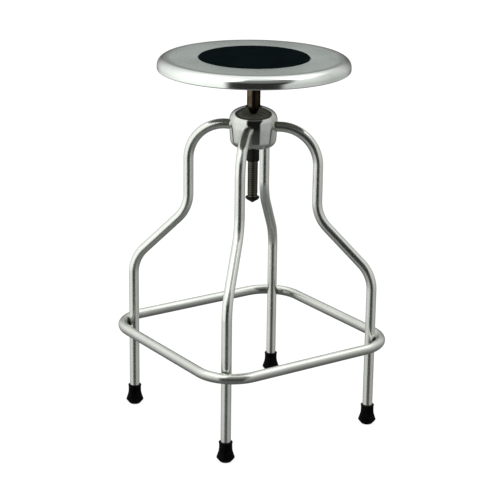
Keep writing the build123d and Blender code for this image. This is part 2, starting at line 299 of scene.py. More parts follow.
def measure(tree, operation, first, second=(0, 0, 0)):
    """One number from vectors: a length, a distance, or how far one points along the other."""
    return vectors(tree, operation, first, second).node.outputs["Value"]


def upward_part(tree, vector):
    """The Z of a place or of a direction."""
    return add(tree, "SeparateXYZ", Vector=vector).node.outputs["Z"]


def distance_from_axis(tree, where):
    """How far a place is from the screw's axis."""
    return measure(tree, "LENGTH", vectors(tree, "MULTIPLY", where, (1, 1, 0)))


def dimmed(tree, colour, factor):
    """A colour made darker by a factor."""
    return add(tree, "VectorMath", {"operation": "SCALE"}, _0=colour, Scale=factor)


# %% A new finish, its noise and its colours
def new_finish(name, **constants):
    """A new material, with the values that are the same all over set on its shader."""
    finish = bpy.data.materials.new(name)
    finish.use_nodes = True
    tree = finish.node_tree
    shader = tree.nodes["Principled BSDF"]
    for key, value in constants.items():
        shader.inputs[key.replace("_", " ")].default_value = value
    return finish, tree, shader


def spot(tree):
    """The place on the piece, in metres."""
    return tree.nodes.new("ShaderNodeTexCoord").outputs["Object"]


def noise(tree, where, scale, detail=4.0, roughness=0.55):
    """Soft noise between 0 and 1."""
    return add(tree, "TexNoise", Vector=where, Scale=scale, Detail=detail, Roughness=roughness)


def stretched(tree, where, scale):
    """A place scaled by a different amount along each axis, which draws noise out into lines."""
    return add(tree, "Mapping", {"vector_type": "POINT"}, Vector=where, Scale=scale)


def between(tree, value, low, high, start=0.3, end=0.7):
    """A value from start to end turned into one from low to high."""
    return add(tree, "MapRange", Value=value, _1=start, _2=end, _3=low, _4=high)


def blend_of(tree, value, dark, light, start=0.3, end=0.7):
    """A colour between dark and light."""
    ramp = tree.nodes.new("ShaderNodeValToRGB")
    tree.links.new(value, ramp.inputs[0])
    ramp.color_ramp.elements[0].position = start
    ramp.color_ramp.elements[0].color = (*dark, 1)
    ramp.color_ramp.elements[1].position = end
    ramp.color_ramp.elements[1].color = (*light, 1)
    return ramp.outputs[0]


def wire(tree, shader, colour, roughness, height=None, depth=0.0):
    """Connects colour, roughness and a bump of some depth in metres to the shader."""
    tree.links.new(colour, shader.inputs["Base Color"])
    tree.links.new(roughness, shader.inputs["Roughness"])
    if height is not None:
        bump = add(tree, "Bump", Height=height, Strength=1.0, Distance=depth)
        tree.links.new(bump, shader.inputs["Normal"])


# %% [markdown]
# ## Tube finish
# The tubes are drawn stainless steel, polished along their length. The tube map runs round the tube and
# along it, so noise that is squeezed round and stretched along draws the fine polishing lines, also
# through the bends. Such lines spread the shine round the tube, which the tangent of the map gives. Close
# to a weld the heat has stained the steel dark, and the colour there also carries painted shade of the
# joint. The ring's colour is darker below, which is painted shade.


# %% Drawn and polished tube
weld_reach = (foot_reach + tube_radius) * DIAGONAL
weld_spot = (weld_reach, weld_reach, ring_height)
HEAT_STAIN_AND_SHADE = 0.12
STAINED_SHADED_REACH = 6 * MM
UNSTAINED_UNSHADED_REACH = 12 * MM
LINE_DEPTH = 0.0003 * MM


def polished_tube(name, metal, underside=1.0):
    """Stainless tube with fine lines along it, faint handling marks, and painted shade below by a factor.
    """
    finish, tree, shader = new_finish(name, Metallic=metal, Anisotropic=0.8)
    along = add(tree, "UVMap", {"uv_map": "tube_map"})
    lines = noise(tree, stretched(tree, along, (9000, 25, 1)), 1.0, 3.0)
    marks = noise(tree, spot(tree), 14.0, 5.0)
    fine = noise(tree, stretched(tree, along, (900, 60, 1)), 1.0, 4.0)
    colour = blend_of(tree, marks, (0.60, 0.628, 0.580), (0.685, 0.710, 0.660))
    roughness = between(tree, arithmetic(tree, "MULTIPLY", fine, marks), 0.205, 0.235, 0.15, 0.45)
    girth = add(tree, "Tangent", {"direction_type": "UV_MAP", "uv_map": "tube_map"})
    tree.links.new(girth, shader.inputs["Tangent"])
    # All four corners are alike, so the place is folded onto one of them.
    folded = add(tree, "VectorMath", {"operation": "ABSOLUTE"}, _0=spot(tree))
    # Heat stain and painted shade: the colour darkens close to where a leg meets the ring.
    to_weld = measure(tree, "DISTANCE", folded, weld_spot)
    colour = dimmed(tree, colour, between(tree, to_weld, HEAT_STAIN_AND_SHADE, 1.0, STAINED_SHADED_REACH, UNSTAINED_UNSHADED_REACH))
    # Painted shade: on the ring, faces that point down get a darker colour.
    if underside < 1.0:
        facing = tree.nodes.new("ShaderNodeNewGeometry").outputs["Normal"]
        colour = dimmed(tree, colour, between(tree, upward_part(tree, facing), underside, 1.0, 0.2, 0.75))
    wire(tree, shader, colour, roughness, lines, LINE_DEPTH)
    return finish


leg_finish = polished_tube("polished leg tube", metal=0.97)
ring_finish = polished_tube("polished ring tube", metal=0.88, underside=0.5)
print("tube finishes made")

# %% [markdown]
# ## Legs
# Each leg is one tube bent three times on the same former: out of the hub and down, out at 45 degrees,
# and down again to the floor. Its path is drawn once as reach and height, and stood up on the four
# diagonals.

# %% Legs
knee_height = leg_axis - KNEE_DISTANCE
shoulder_height = knee_height + foot_reach - NECK_REACH
leg_line = rounded([
    (leg_root_reach, leg_axis, 0),
    (NECK_REACH, leg_axis, BEND_RADIUS),
    (NECK_REACH, shoulder_height, BEND_RADIUS),
    (foot_reach, knee_height, BEND_RADIUS),
    (foot_reach, leg_low.z, 0),
], step=3.0)
for name, out in outward.items():
    path = [out * reach + Vector((0, 0, height)) for reach, height in leg_line]
    mesh = tube(f"leg_{name}_tube", path, out.cross(Vector((0, 0, 1))))
    place(f"bent_leg_{name}", mesh, "base", f"leg_{name}", "leg_tube", leg_finish)

# %% [markdown]
# ## Foot ring
# The ring is a fifth tube, bent into a square with round corners that pass outside the legs.

# %% Foot ring
ring_corners = [(x * ring_half_side, y * ring_half_side, BEND_RADIUS) for x, y in LEGS.values()]
ring_path = [Vector((x, y, ring_height)) for x, y in rounded(ring_corners, closed=True, step=3.0)]
ring_mesh = tube("foot_ring_tube", ring_path, Vector((0, 0, 1)), closed=True)
place("bent_foot_ring", ring_mesh, "base", "foot_ring", "ring_tube", ring_finish)

# %% [markdown]
# ## Weld beads
# A leg and a ring corner all but touch at one point, and the welder fills the wedge round it. The bead
# follows both tubes: its inner end lies on the leg's round face and its outer end on the ring's bend. The
# rim between them is drawn in a little, with the ripples of a bead laid in small steps. The heat leaves
# it black, and its black also carries painted shade of the joint.

# %% One weld bead
BEAD_RADIUS = 7.2 * MM
BEAD_WAIST = 0.7 * MM
RIPPLES = 22
RIPPLE_HEIGHT = 0.22 * MM
corner_reach = (ring_half_side - BEND_RADIUS) / DIAGONAL


def bead(bm, out, sides=88, rings=6, rim_steps=5):
    """One bead between a leg and the ring's corner that goes round it."""
    across = Vector((-out.y, out.x, 0))

    def at(radius, angle, share):
        aside, above = radius * math.cos(angle), radius * math.sin(angle)
        leg_face = foot_reach + math.sqrt(tube_radius ** 2 - aside ** 2)
        ring_axis = corner_reach + math.sqrt(BEND_RADIUS ** 2 - aside ** 2)
        ring_face = ring_axis - math.sqrt(tube_radius ** 2 - above ** 2)
        reach = leg_face + (ring_face - leg_face) * share
        return out * reach + across * aside + Vector((0, 0, ring_height + above))

    def rim(angle, share):
        drawn_in = BEAD_WAIST * math.sin(math.pi * share)
        ripple = RIPPLE_HEIGHT * math.cos(RIPPLES * angle) * math.sin(math.pi * share)
        return BEAD_RADIUS - drawn_in + ripple

    angles = angles_round(sides)

    def end_row(share, i):
        return [bm.verts.new(at(rim(angle, share) * i / rings, angle, share)) for angle in angles]

    def rim_row(share):
        return [bm.verts.new(at(rim(angle, share), angle, share)) for angle in angles]

    rows = [end_row(0, i) for i in range(1, rings)]
    rows += [rim_row(step / rim_steps) for step in range(rim_steps + 1)]
    rows += [end_row(1, i) for i in range(rings - 1, 0, -1)]
    skin(bm, rows, sides)
    bm.faces.new(rows[0])
    bm.faces.new(rows[-1])


# %% Weld metal, and the four beads
def weld_metal():
    """Heat-blackened weld metal, also painted with the joint's shade, worn brighter in spots."""
    finish, tree, shader = new_finish("weld bead", Metallic=1.0)
    where = spot(tree)
    tint = noise(tree, where, 160.0, 3.0)
    grain = noise(tree, where, 1500.0, 4.0)
    # Painted shade: the near-black colour also stands in for the shade in the joint.
    colour = blend_of(tree, tint, (0.020, 0.018, 0.017), (0.11, 0.095, 0.080), 0.4, 0.8)
    wire(tree, shader, colour, between(tree, grain, 0.24, 0.42), grain, 0.00004)
    return finish


bm = bmesh.new()
for out in outward.values():
    bead(bm, out)
place("weld_beads", to_mesh(bm, "weld_beads"), "base", "ring_welds", "ring_tube", weld_metal())

# %% [markdown]
# ## Foot tips
# Each tip is a moulded rubber cap: a rolled lip at the top, a straight neck that grips the tube, and a
# flare down to a rounded sole with a tread groove. Inside, a steel disc keeps the tube end from cutting
# through. Rubber is nearly black, dull, and dusty where it scuffs the floor.

# %% Sizes of the foot tips
tip_low, tip_high = corners_of("foot_tip_back_right")
washer_low, washer_high = corners_of("tip_washers")
TIP_NECK = tube_radius + 2.7 * MM
TIP_LIP = TIP_NECK + 0.6 * MM
TIP_FLARE = TIP_NECK + 4.7 * MM
TIP_SOLE = TIP_NECK - 1.7 * MM
TREAD = TIP_SOLE - 5.0 * MM
SCUFF_HEIGHT = 12 * MM


# %% Moulded rubber, and the four tips
def moulded_rubber():
    """Black rubber with a fine grain, paler where it has scuffed."""
    finish, tree, shader = new_finish("moulded tip rubber", Specular_IOR_Level=0.02)
    where = spot(tree)
    grain = noise(tree, where, 2600.0, 3.0)
    dust = noise(tree, where, 90.0, 5.0)
    low_down = between(tree, upward_part(tree, where), 0.12, 0.0, 0.0, SCUFF_HEIGHT)
    scuff = arithmetic(tree, "ADD", dust, low_down)
    colour = blend_of(tree, scuff, (0.0008, 0.0009, 0.0010), (0.004, 0.004, 0.004), 0.45, 0.80)
    wire(tree, shader, colour, between(tree, dust, 0.42, 0.62), grain, 0.00005)
    return finish


tip_finish = moulded_rubber()
tip_top = tip_high.z
tip_outline = rounded([
    (0, tip_low.z, 0),
    (TREAD - 2.0 * MM, tip_low.z, 0.3 * MM),
    (TREAD - 1.8 * MM, tip_low.z + 0.8 * MM, 0.2 * MM),
    (TREAD - 0.2 * MM, tip_low.z + 0.8 * MM, 0.2 * MM),
    (TREAD, tip_low.z, 0.3 * MM),
    (TIP_SOLE, tip_low.z, 0.8 * MM),
    (TIP_FLARE, tip_low.z + 7.8 * MM, 1.2 * MM),
    (TIP_NECK, tip_low.z + 22 * MM, 36.0 * MM),
    (TIP_NECK, tip_top - 1.9 * MM, 0.3 * MM),
    (TIP_LIP, tip_top - 1.6 * MM, 0.3 * MM),
    (TIP_LIP, tip_top, 0.4 * MM),
    (tube_radius + FIT, tip_top, 0.4 * MM),
    (tube_radius + FIT, washer_low.z, 0),
    (0, washer_low.z, 0),
], step=6.0)
for name, foot in feet.items():
    mesh = lathe(f"tip_{name}_rubber", tip_outline, foot, sides=64)
    place(f"rubber_tip_{name}", mesh, "base", f"foot_tip_{name}", "tip_rubber", tip_finish)

# %% [markdown]
# ## Zinc plate
# The small steel parts are zinc plated: a bright, slightly bluish grey with a fine crystal pattern. The
# discs in the tips take it first, and later the studs, nuts and pin under the seat.


# %% Zinc finish and the discs in the tips
def zinc_plate():
    """Zinc plating with a faint crystal pattern."""
    finish, tree, shader = new_finish("zinc plate", Metallic=1.0)
    where = spot(tree)
    crystals = add(tree, "TexVoronoi", Vector=where, Scale=700.0)
    cloud = noise(tree, where, 120.0)
    colour = blend_of(tree, crystals, (0.50, 0.52, 0.55), (0.66, 0.68, 0.70), 0.0, 0.7)
    wire(tree, shader, colour, between(tree, cloud, 0.28, 0.45), crystals, 0.00001)
    return finish


zinc = zinc_plate()
disc_outline = rounded([
    (0, washer_low.z, 0),
    (tube_radius, washer_low.z, 0.3 * MM),
    (tube_radius, washer_high.z, 0.3 * MM),
    (0, washer_high.z, 0),
], step=30.0)
bm = bmesh.new()
for foot in feet.values():
    turn(bm, disc_outline, foot, sides=48)
place("tip_discs", to_mesh(bm, "tip_discs"), "base", "tip_washers", "zinc_steel", zinc)

# %% [markdown]
# ## Hub
# The hub is a casting, polished to a mirror. It is turned from one outline, with its stepped bore, and
# then the four leg sockets are cut with a boolean, as they are drilled in the real one. A mirror shows
# every facet, so the outline has fine steps.

# %% Sizes of the hub
hub_low, hub_high = corners_of("hub")
nut_low, nut_high = corners_of("lift_nut")
screw_low, screw_high = corners_of("lift_screw")
HUB_TAPER = 2.6 * MM
CROWN_RADIUS = 70 * MM
SHOULDER_RADIUS = 20 * MM
LEDGE = 6.0 * MM
hub_radius = hub_high.x
screw_radius = screw_high.x
nut_head_radius = nut_high.x
nut_neck_radius = nut_head_radius - 3.0 * MM
hub_bore = nut_head_radius + FIT


# %% Mirror polish
def mirror_polish():
    """Polished cast metal, with faint swirls and a few dull patches."""
    finish, tree, shader = new_finish("mirror-polished casting", Metallic=1.0)
    where = spot(tree)
    ripple = noise(tree, where, 60.0, 2.0)
    swirls = noise(tree, where, 900.0, 4.0)
    colour = blend_of(tree, ripple, (0.49, 0.512, 0.47), (0.56, 0.582, 0.54))
    wire(tree, shader, colour, between(tree, swirls, 0.05, 0.11), ripple, 0.00005)
    return finish


# %% Outline of the hub
def arc(centre, radius, first, last, step=2.0):
    """Points of an arc from one angle to another, in degrees from straight up."""
    steps = math.ceil((last - first) / step)
    angles = [math.radians(first + (last - first) * k / steps) for k in range(steps + 1)]
    return [Vector((centre[0] + radius * math.sin(g), centre[1] + radius * math.cos(g))) for g in angles]


crown_centre = hub_high.z - math.sqrt(CROWN_RADIUS ** 2 - hub_bore ** 2)
shoulder_reach = hub_radius - SHOULDER_RADIUS
meeting = math.asin(shoulder_reach / (CROWN_RADIUS - SHOULDER_RADIUS))
shoulder_level = crown_centre + (CROWN_RADIUS - SHOULDER_RADIUS) * math.cos(meeting)
mouth = math.asin((hub_bore + 0.6 * MM) / CROWN_RADIUS)
crown = arc((0, crown_centre), CROWN_RADIUS, math.degrees(mouth), math.degrees(meeting))
shoulder_arc = arc((shoulder_reach, shoulder_level), SHOULDER_RADIUS, math.degrees(meeting), 90)
hub_wall = rounded([
    (hub_radius, shoulder_level, 0),
    (hub_radius, leg_axis, 90 * MM),
    (hub_radius - HUB_TAPER, hub_low.z, 14.5 * MM),
    (nut_neck_radius + FIT, hub_low.z, 0.6 * MM),
    (nut_neck_radius + FIT, hub_low.z + LEDGE, 0),
    (hub_bore, hub_low.z + LEDGE, 0),
    (hub_bore, hub_high.z - 0.6 * MM, 0),
], step=2.5)
hub_outline = crown + shoulder_arc[1:] + hub_wall[1:]
print(f"hub crown {CROWN_RADIUS * 1000:.0f} mm, meets the shoulder {math.degrees(meeting):.1f} degrees out")
hub = bpy.data.objects.new("hub_blank", lathe("hub_blank", hub_outline, sides=160, closed=True))
# %% Leg sockets in the hub
leg_hole_radius = tube_radius + FIT
drill_mesh = bmesh.new()
for out in outward.values():
    spin = out.to_track_quat("Z", "Y").to_matrix().to_4x4()
    middle = out * (leg_root_reach + hub_radius / 2) + Vector((0, 0, leg_axis))
    bmesh.ops.create_cone(drill_mesh, cap_ends=True, segments=72, depth=hub_radius,
                          radius1=leg_hole_radius, radius2=leg_hole_radius,
                          matrix=Matrix.Translation(middle) @ spin)
drill = bpy.data.objects.new("leg_drill", to_mesh(drill_mesh, "leg_drill"))
for thing in (hub, drill):
    bpy.context.scene.collection.objects.link(thing)
cut = hub.modifiers.new("leg sockets", "BOOLEAN")
cut.operation = "DIFFERENCE"
cut.solver = "EXACT"
cut.object = drill
bpy.context.view_layer.update()
hub_mesh = bpy.data.meshes.new_from_object(hub.evaluated_get(bpy.context.evaluated_depsgraph_get()))
for thing in (hub, drill):
    bpy.data.objects.remove(thing)
hub_mesh.materials.clear()
hub_mesh.set_sharp_from_angle(angle=math.radians(32))
place("polished_hub", hub_mesh, "base", "hub", "hub_metal", mirror_polish())

# %% [markdown]
# ## Nut, bush, stop washer and end cap
# Four small turned pieces sit on the screw's axis. The nut rests on a ledge in the hub and shows its neck
# below, the bush is a nylon ring in the hub's mouth, and the washer and the pointed cap end the screw.
# The steel ones have a black oxide finish.


# %% Black oxide and nylon
def black_oxide():
    """Blackened steel with an oily sheen."""
    finish, tree, shader = new_finish("black oxide steel", Metallic=0.6, Specular_Tint=(0.1, 0.1, 0.1, 1))
    where = spot(tree)
    oil = noise(tree, where, 110.0, 5.0)
    grain = noise(tree, where, 1800.0, 3.0)
    colour = blend_of(tree, oil, (0.006, 0.007, 0.006), (0.030, 0.030, 0.027), 0.35, 0.75)
    wire(tree, shader, colour, between(tree, oil, 0.30, 0.52), grain, 0.00002)
    return finish


def nylon():
    """Black nylon, slightly waxy."""
    finish, tree, shader = new_finish("black nylon", Specular_IOR_Level=0.3)
    where = spot(tree)
    cloud = noise(tree, where, 300.0)
    colour = blend_of(tree, cloud, (0.006, 0.006, 0.006), (0.014, 0.014, 0.013))
    wire(tree, shader, colour, between(tree, cloud, 0.45, 0.6), noise(tree, where, 2400.0), 0.00003)
    return finish


oxide = black_oxide()
print("black finishes made")

# %% Lift nut
RUN = 0.08 * MM
bush_low, bush_high = corners_of("guide_bush")
sleeve_low, sleeve_high = corners_of("screw_sleeve")
washer = corners_of("stop_washer")
cap_low, cap_high = corners_of("end_cap")
STUD_RADIUS = 6.0 * MM
sleeve_radius = sleeve_high.x


def groove(radius, height):
    """Corners of a shallow turned groove, from its upper edge down."""
    return [(radius, height + 0.7 * MM, 0), (radius - 0.45 * MM, height + 0.4 * MM, 0),
            (radius - 0.45 * MM, height - 0.4 * MM, 0), (radius, height - 0.7 * MM, 0)]


nut_outline = rounded([
    (screw_radius + RUN, nut_high.z, 0.4 * MM),
    (nut_head_radius, nut_high.z, 0.5 * MM),
    (nut_head_radius, hub_low.z + LEDGE, 0.2 * MM),
    (nut_neck_radius, hub_low.z + LEDGE, 0),
    *groove(nut_neck_radius, nut_low.z + 9.0 * MM),
    *groove(nut_neck_radius, nut_low.z + 5.0 * MM),
    (nut_neck_radius, nut_low.z + 0.8 * MM, 0.3 * MM),
    (nut_neck_radius - 0.8 * MM, nut_low.z, 0.3 * MM),
    (screw_radius + RUN, nut_low.z, 0.3 * MM),
], closed=True, step=15.0)
place_turned("turned_lift_nut", nut_outline, "base", "lift_nut", "black_steel", oxide, closed=True)

# %% Bush
bush_outline = rounded([
    (sleeve_radius + RUN, bush_high.z, 0.5 * MM),
    (bush_high.x, bush_high.z, 0.5 * MM),
    (bush_high.x, bush_low.z, 0.4 * MM),
    (sleeve_radius + RUN, bush_low.z, 0.4 * MM),
], closed=True, step=15.0)
place_turned("nylon_bush", bush_outline, "base", "guide_bush", "bush_plastic", nylon(), closed=True)

# %% Stop washer and end cap
washer_outline = rounded([
    (STUD_RADIUS + RUN, washer[1].z, 0.3 * MM),
    (washer[1].x, washer[1].z, 0.8 * MM),
    (washer[1].x, washer[0].z, 0.8 * MM),
    (STUD_RADIUS + RUN, washer[0].z, 0.3 * MM),
], closed=True, step=15.0)
place_turned("turned_stop_washer", washer_outline, "lift", "stop_washer", "black_steel", oxide, closed=True)

cap_outline = rounded([
    (0, cap_high.z - 4.0 * MM, 0),
    (STUD_RADIUS + FIT, cap_high.z - 4.0 * MM, 0),
    (STUD_RADIUS + FIT, cap_high.z, 0.2 * MM),
    (cap_high.x, cap_high.z, 0.3 * MM),
    (cap_high.x, cap_high.z - 1.2 * MM, 0.6 * MM),
    (1.0 * MM, cap_low.z, 0.8 * MM),
    (0, cap_low.z, 0),
], step=15.0)
place_turned("pointed_end_cap", cap_outline, "seat", "end_cap", "black_steel", oxide)

# %% [markdown]
# ## Lift screw
# The screw has a square-shouldered lifting thread, one start, right-handed. A thread is a profile that
# climbs by one lead in each turn, so its mesh is a sheet wound round the axis: each row of points follows
# the helix, and after one turn it meets the row one lead above. The ends are closed by plain turned
# stretches. The grooves hold dark grease and the crests are rubbed brighter.


# %% A threaded rod
def threaded_rod(bm, below, above, thread, lead, depth, centre=(0, 0), sides=48):
    """A rod with a right-hand thread between two plain stretches.

    The stretches are lists of (radius, height) from the bottom up, and thread is the thread's outer
    radius, its first height and its last height.
    """
    radius, first, last = thread
    profile = [(0.0, radius - depth), (0.24, radius - depth), (0.32, radius - 0.06 * depth), (0.35, radius),
               (0.91, radius), (0.94, radius - 0.06 * depth)]
    each = len(profile)
    rows = each * int((last - first) / lead - 1) + 1

    def point(row, k):
        share, reach = profile[row % each]
        height = first + lead * (row // each + share + k / sides)
        return point_round(bm, centre, reach, math.tau * k / sides, height)

    sheet = [[point(row, k) for k in range(sides)] for row in range(rows)]
    for row in range(rows - 1):
        for k in range(sides - 1):
            bm.faces.new((sheet[row][k], sheet[row][k + 1], sheet[row + 1][k + 1], sheet[row + 1][k]))
        next_turn = row + each
        if next_turn + 1 < rows:
            bm.faces.new((sheet[row][-1], sheet[next_turn][0], sheet[next_turn + 1][0], sheet[row + 1][-1]))

    def plain(outline):
        rings = [ring_of_points(bm, centre, reach, height, sides) for reach, height in outline]
        skin(bm, rings, sides)
        return rings

    lower, upper = plain(below), plain(above)
    bm.faces.new(lower[0])
    bm.faces.new(upper[-1])
    for k in range(sides - 1):
        bm.faces.new((lower[-1][k], lower[-1][k + 1], sheet[0][k + 1], sheet[0][k]))
        bm.faces.new((sheet[-1][k], sheet[-1][k + 1], upper[0][k + 1], upper[0][k]))
    run_in = [sheet[row][0] for row in range(each + 1)]
    bm.faces.new([lower[-1][-1], lower[-1][0], *run_in, sheet[0][-1]])
    run_out = [sheet[row][-1] for row in range(rows - 1, rows - 2 - each, -1)]
    bm.faces.new([*run_out, sheet[-1][0], upper[0][0], upper[0][-1]])


# %% Greased screw
def greased_screw():
    """Dark oiled steel: brighter on the crests, brown grease in the grooves."""
    finish, tree, shader = new_finish("greased screw steel", Metallic=1.0, Specular_Tint=(0.2, 0.2, 0.2, 1))
    where = spot(tree)
    from_axis = distance_from_axis(tree, where)
    crest = between(tree, from_axis, 0.0, 0.5, screw_radius - 0.7 * MM, screw_radius - 0.05 * MM)
    stain = noise(tree, stretched(tree, where, (120, 120, 40)), 1.0, 5.0)
    wear = arithmetic(tree, "MULTIPLY_ADD", stain, 0.6, crest)
    colour = blend_of(tree, wear, (0.034, 0.030, 0.022), (0.135, 0.128, 0.102), 0.25, 0.95)
    wire(tree, shader, colour, between(tree, stain, 0.28, 0.5), noise(tree, where, 1500.0), 0.00002)
    return finish


# %% Lift screw
THREAD_DEPTH = 0.75 * MM
shoulder = washer[1].z + 0.2 * MM
below = [(STUD_RADIUS, screw_low.z), (STUD_RADIUS, shoulder), (screw_radius - 0.4 * MM, shoulder),
         (screw_radius, shoulder + 0.4 * MM), (screw_radius, shoulder + 1.2 * MM)]
above = [(screw_radius, sleeve_low.z + 42 * MM), (screw_radius, screw_high.z)]
bm = bmesh.new()
lifting_thread = (screw_radius, shoulder + 2 * MM, sleeve_low.z + 40 * MM)
threaded_rod(bm, below, above, lifting_thread, LEAD, THREAD_DEPTH)
place("threaded_lift_screw", to_mesh(bm, "threaded_lift_screw", 40), "seat", "lift_screw", "screw_steel",
      greased_screw())

# %% [markdown]
# ## Sleeve
# A smooth tube covers the top of the thread and runs down into the bush, so that grease never meets a
# trouser leg. It is plain steel, stained brown by the oil that it carries up and down, with streaks along
# it. One side is made darker as painted shade.

# %% Sleeve
PAINTED_SHADE_SIDE = (0.825, -0.565, 0)


def stained_sleeve_with_side_shade():
    """Brown, oil-stained steel with streaks along its length, and one side blacker as painted shade."""
    finish, tree, shader = new_finish("oil-stained sleeve with painted side shade", Metallic=1.0, Specular_Tint=(0.2, 0.2, 0.2, 1))
    where = spot(tree)
    streaks = noise(tree, stretched(tree, where, (420, 420, 14)), 1.0, 4.0)
    cloud = noise(tree, where, 60.0, 4.0)
    # Painted shade: the side towards one fixed direction is made darker.
    side_shade = between(tree, measure(tree, "DOT_PRODUCT", where, PAINTED_SHADE_SIDE), 0.12, -0.35, -4 * MM, 6 * MM)
    mixed = arithmetic(tree, "MULTIPLY_ADD", streaks, 0.6, cloud)
    stains_and_side_shade = arithmetic(tree, "ADD", mixed, side_shade)
    colour = blend_of(tree, stains_and_side_shade, (0.016, 0.011, 0.006), (0.098, 0.078, 0.050), 0.40, 1.05)
    wire(tree, shader, colour, between(tree, streaks, 0.2, 0.38), streaks, 0.00002)
    return finish


sleeve_outline = rounded([
    (screw_radius + FIT, sleeve_high.z, 0.2 * MM),
    (sleeve_radius, sleeve_high.z, 0.3 * MM),
    (sleeve_radius, sleeve_low.z, 0.5 * MM),
    (screw_radius + FIT, sleeve_low.z, 0.2 * MM),
], closed=True, step=15.0)
place_turned("smooth_sleeve", sleeve_outline, "seat", "screw_sleeve", "screw_steel", stained_sleeve_with_side_shade(),
             closed=True)

# %% [markdown]
# ## Seat pan
# The seat is one disc of stainless sheet, spun over a former: a shallow recess for the pad, a flat brim,
# a full round edge, a short skirt and a lip that is rolled in below. The outline is drawn once for the
# upper face, and moved by the sheet's thickness for the lower one. Spinning and polishing leave rings
# round the middle, so the finish takes its noise from the distance to the axis. Use has rubbed the top to
# a satin, while the rim is still burnished bright. The underside is left dull, and its darker colour is
# painted shade.

# %% Sizes of the seat
seat_low, seat_high = corners_of("seat_shell")
pad_low, pad_high = corners_of("seat_pad")
SHEET = 1.5 * MM
SATIN_REACH = 152 * MM
RIM_REACH = 168 * MM
RIM_TINT = (1.18, 1.12, 1.13)
SATIN_TINT = (1.01, 1.0, 1.0)
seat_radius = seat_high.x
seat_top, seat_bottom = seat_high.z, seat_low.z
recess = pad_high.x + 0.3 * MM


# %% Spun steel and its dull underside
def spun_steel():
    """Stainless sheet with fine rings and faint cloudy marks, rubbed dull on top inside the rim."""
    finish, tree, shader = new_finish("spun seat steel", Anisotropic=0.3)
    where = spot(tree)
    from_axis = distance_from_axis(tree, where)
    along = add(tree, "CombineXYZ", X=from_axis, Y=upward_part(tree, where), Z=0.0)
    rings = noise(tree, along, 4200.0, 4.0)
    marks = noise(tree, where, 16.0, 5.0)
    satin = blend_of(tree, marks, (0.575, 0.642, 0.600), (0.625, 0.694, 0.650))
    uneven = arithmetic(tree, "MULTIPLY_ADD", rings, 0.35, marks)
    tangent = add(tree, "Tangent", {"direction_type": "RADIAL", "axis": "Z"})
    tree.links.new(tangent, shader.inputs["Tangent"])
    rubbed = between(tree, from_axis, 1.0, 0.0, SATIN_REACH, RIM_REACH)
    tree.links.new(between(tree, rubbed, 0.98, 0.88, 0.0, 1.0), shader.inputs["Metallic"])
    burnish = blend_of(tree, rubbed, RIM_TINT, SATIN_TINT, 0.0, 1.0)
    colour = vectors(tree, "MULTIPLY", satin, burnish)
    ring_roughness = between(tree, uneven, 0.10, 0.16, 0.4, 0.95)
    roughness = arithmetic(tree, "MULTIPLY_ADD", rubbed, 0.15, ring_roughness)
    wire(tree, shader, colour, roughness, rings, 0.000004)
    return finish


def dull_shaded_underside():
    """Unpolished sheet, darkened as painted shade, and slightly stained."""
    finish, tree, shader = new_finish("dull underside steel with painted shade", Metallic=1.0)
    where = spot(tree)
    stain = noise(tree, where, 35.0, 6.0)
    # Painted shade: the colour is kept far darker than the top's.
    colour = blend_of(tree, stain, (0.36, 0.355, 0.30), (0.50, 0.495, 0.43))
    wire(tree, shader, colour, between(tree, stain, 0.42, 0.6), noise(tree, where, 900.0), 0.00002)
    return finish


# %% Spin the pan
upper_face = rounded([
    (0, seat_top - 1.5 * MM, 0),
    (recess, seat_top - 1.5 * MM, 0.45 * MM),
    (recess + 1.6 * MM, seat_top, 1.95 * MM),
    (seat_radius, seat_top, 15 * MM),
    (seat_radius, seat_bottom, 2.2 * MM),
    (seat_radius - 9 * MM, seat_bottom, 0),
], step=4.0)
lower_face = inset(upper_face, SHEET)
lower_face[0].x = 0
pan_sides = 192
pan_mesh = lathe("spun_seat_pan", upper_face + lower_face[::-1], sides=pan_sides)
first_lower = (len(upper_face) - 1) * pan_sides
place("spun_seat_pan", pan_mesh, "seat", "seat_shell", "seat_steel", spun_steel(), dull_shaded_underside())
for face in pan_mesh.polygons:
    face.material_index = 1 if face.index >= first_lower else 0

# %% [markdown]
# ## Seat pad
# The pad is a disc of black rubber, bonded into the recess and just proud of the brim. Its top is a
# little crowned, its edge is rounded, and its face has a fine pebble so that clothing doesn't slip.


# %% Pebbled rubber
def pebbled_rubber():
    """Black rubber sheet with a fine pebble and a breath of dust."""
    finish, tree, shader = new_finish("pebbled pad rubber", Specular_IOR_Level=0.002)
    where = spot(tree)
    pebbles = add(tree, "TexVoronoi", {"feature": "SMOOTH_F1"}, Vector=where, Scale=620.0, Smoothness=0.6)
    dust = noise(tree, where, 45.0, 6.0)
    colour = blend_of(tree, dust, (0.0010, 0.0024, 0.0030), (0.0024, 0.0046, 0.0054))
    wire(tree, shader, colour, between(tree, dust, 0.62, 0.8), pebbles, 0.00025)
    return finish


# %% Crowned pad
pad_radius = pad_high.x
CROWN = 0.35 * MM
CROWN_SHARE = 0.985
CROWN_STEPS = 12
pad_top = [(pad_radius * CROWN_SHARE * k / CROWN_STEPS, pad_high.z - CROWN * (k / CROWN_STEPS) ** 2)
           for k in range(CROWN_STEPS + 1)]
pad_edge = rounded([
    (*pad_top[-1], 0),
    (pad_radius, pad_high.z - CROWN - 0.1 * MM, 0.9 * MM),
    (pad_radius, pad_low.z, 0.3 * MM),
    (0, pad_low.z, 0),
], step=15.0)
pad = place_turned("pebbled_seat_pad", pad_top + pad_edge[1:], "seat", "seat_pad", "pad_rubber",
                   pebbled_rubber(), sides=160)

# %% [markdown]
# ## Under the seat
# A stiffening plate carries the screw socket, and four studs and nuts clamp it to the pan. These pieces
# show from below, and mirrored in the hub. The plate and the socket are painted black; the fasteners are
# zinc plated, with real threads and chamfered hexagons.


